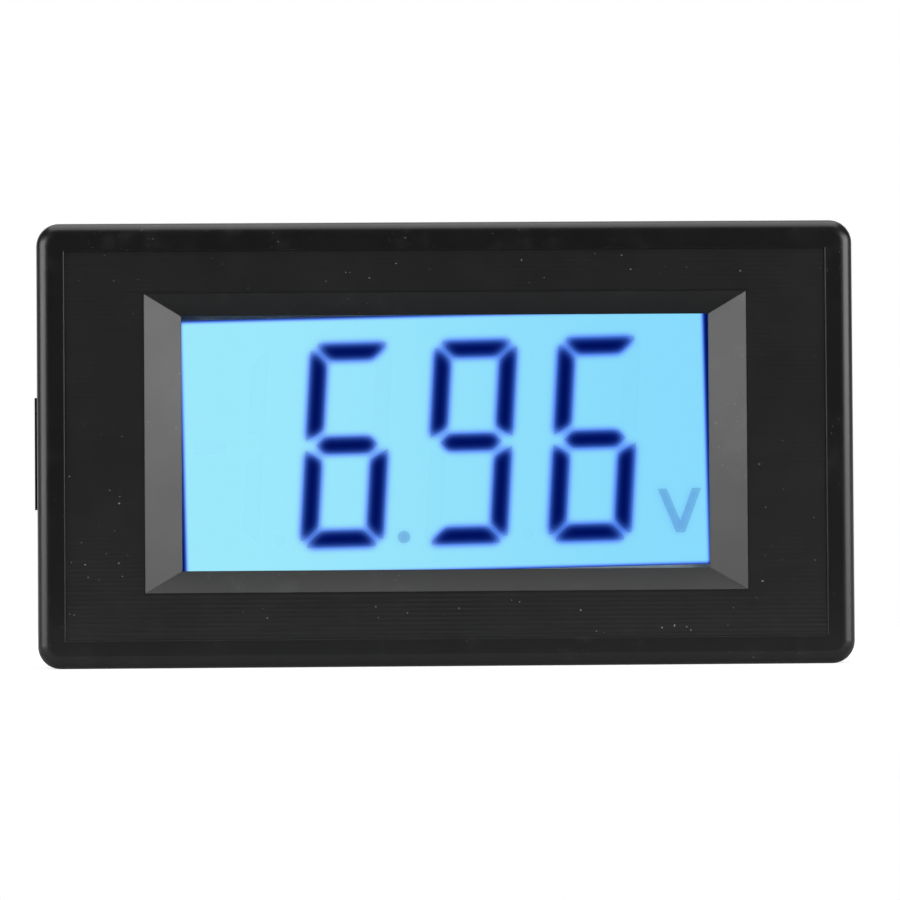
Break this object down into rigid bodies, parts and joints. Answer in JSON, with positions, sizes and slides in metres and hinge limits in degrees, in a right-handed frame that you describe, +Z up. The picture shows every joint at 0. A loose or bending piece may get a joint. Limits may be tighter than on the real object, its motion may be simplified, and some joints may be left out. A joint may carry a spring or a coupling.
{
  "type": "digital panel meter",
  "caption": "Snap-in digital panel voltmeter: black frame with bevelled window, backlit liquid-crystal digits, side spring clips and rear screw terminals.",
  "frame": {"origin": "centre of the front frame's rear face, the plane that seats on the panel", "axes": "+Z up, +X to the right as the display is read, +Y back into the panel; the front looks along -Y"},
  "size_m": [0.0804, 0.025, 0.043],
  "materials": {
    "case_black": "fine spark-eroded texture, smooth satin rim",
    "cover_black": "fine spark-eroded texture",
    "clip_black": "smooth satin",
    "front_film": "clear anti-glare film",
    "display_glass": "clear polished",
    "cell_seal": "cured epoxy",
    "rear_film": "transflective film, lit from behind",
    "segment_ink": "dark blue liquid-crystal image",
    "segment_faint": "faint liquid-crystal image",
    "segment_clear": "clear, undriven",
    "diffuser_white": "frosted film, lit from behind",
    "light_guide_acrylic": "clear acrylic with grooves",
    "reflector_white": "white film",
    "led_body": "white lamp bodies with blue light",
    "carrier_white": "white moulding",
    "contact_silicone": "layered silicone",
    "board_green": "green solder mask over glass fibre",
    "screw_steel": "zinc plated",
    "chip_black": "moulded epoxy",
    "tinned_lead": "tinned",
    "regulator_black": "moulded epoxy",
    "capacitor_sleeve": "dark sleeve over an aluminium can",
    "film_capacitor_coat": "dipped epoxy",
    "resistor_coat": "lacquer with colour bands",
    "diode_black": "moulded epoxy with a pale band",
    "trimmer_blue": "moulded",
    "rotor_brass": "turned",
    "terminal_green": "moulded nylon",
    "contact_tin": "tinned copper",
    "cage_nickel": "nickel plated brass",
    "terminal_screw_steel": "zinc plated"
  },
  "bodies": {
    "case": {"front_housing": "case_black", "rear_cover": "cover_black", "lcd_front_polarizer": "front_film", "lcd_front_glass": "display_glass", "lcd_cell_seal": "cell_seal", "lcd_rear_glass": "display_glass", "lcd_rear_polarizer": "rear_film", "segments_on": "segment_ink", "segments_dim": "segment_faint", "segments_off": "segment_clear", "light_diffuser": "diffuser_white", "light_guide": "light_guide_acrylic", "light_reflector": "reflector_white", "backlight_leds": "led_body", "display_carrier": "carrier_white", "contact_strips": "contact_silicone", "main_board": "board_green", "board_screws": "screw_steel", "converter_chip": "chip_black", "converter_leads": "tinned_lead", "voltage_regulator": "regulator_black", "electrolytic_capacitors": "capacitor_sleeve", "film_capacitors": "film_capacitor_coat", "resistors": "resistor_coat", "protection_diode": "diode_black", "trimmer_body": "trimmer_blue", "terminal_block": "terminal_green", "terminal_contacts": "contact_tin"},
    "clamp_1": {"clamp_cage_1": "cage_nickel"},
    "clamp_2": {"clamp_cage_2": "cage_nickel"},
    "clamp_3": {"clamp_cage_3": "cage_nickel"},
    "clamp_4": {"clamp_cage_4": "cage_nickel"},
    "screw_1": {"terminal_screw_1": "terminal_screw_steel"},
    "screw_2": {"terminal_screw_2": "terminal_screw_steel"},
    "screw_3": {"terminal_screw_3": "terminal_screw_steel"},
    "screw_4": {"terminal_screw_4": "terminal_screw_steel"},
    "trimmer": {"trimmer_rotor": "rotor_brass"},
    "clip_left": {"panel_clip_left": "clip_black"},
    "clip_right": {"panel_clip_right": "clip_black"}
  },
  "joints": [
    {"name": "clip_right_flex", "type": "hinge", "parent": "case", "child": "clip_right", "pos_m": [0.036, 0.0172, -0.0006], "axis": [0, 0, 1], "range_deg": [-10, 0], "stiffness_Nm_per_rad": 0.8},
    {"name": "clip_left_flex", "type": "hinge", "parent": "case", "child": "clip_left", "pos_m": [-0.036, 0.0172, -0.0006], "axis": [0, 0, -1], "range_deg": [-10, 0], "stiffness_Nm_per_rad": 0.8},
    {"name": "trimmer_turn", "type": "hinge", "parent": "case", "child": "trimmer", "pos_m": [0.022, 0.01138, 0.009], "axis": [0, -1, 0], "range_deg": [-130, 130]},
    {"name": "screw_1_turn", "type": "hinge", "parent": "case", "child": "screw_1", "pos_m": [-0.00762, 0.01738, -0.0152], "axis": [0, -1, 0], "range_deg": [0, 1760]},
    {"name": "clamp_1_rise", "type": "slide", "parent": "case", "child": "clamp_1", "axis": [0, 1, 0], "range_m": [0, 0.0022]},
    {"name": "screw_2_turn", "type": "hinge", "parent": "case", "child": "screw_2", "pos_m": [-0.00254, 0.01738, -0.0152], "axis": [0, -1, 0], "range_deg": [0, 1760]},
    {"name": "clamp_2_rise", "type": "slide", "parent": "case", "child": "clamp_2", "axis": [0, 1, 0], "range_m": [0, 0.0022]},
    {"name": "screw_3_turn", "type": "hinge", "parent": "case", "child": "screw_3", "pos_m": [0.00254, 0.01738, -0.0152], "axis": [0, -1, 0], "range_deg": [0, 1760]},
    {"name": "clamp_3_rise", "type": "slide", "parent": "case", "child": "clamp_3", "axis": [0, 1, 0], "range_m": [0, 0.0022]},
    {"name": "screw_4_turn", "type": "hinge", "parent": "case", "child": "screw_4", "pos_m": [0.00762, 0.01738, -0.0152], "axis": [0, -1, 0], "range_deg": [0, 1760]},
    {"name": "clamp_4_rise", "type": "slide", "parent": "case", "child": "clamp_4", "axis": [0, 1, 0], "range_m": [0, 0.0022]}
  ],
  "couplings": [
    {"joint": "screw_1_turn", "follows": "clamp_1_rise", "rad_per_m": 13963},
    {"joint": "screw_2_turn", "follows": "clamp_2_rise", "rad_per_m": 13963},
    {"joint": "screw_3_turn", "follows": "clamp_3_rise", "rad_per_m": 13963},
    {"joint": "screw_4_turn", "follows": "clamp_4_rise", "rad_per_m": 13963}
  ]
}
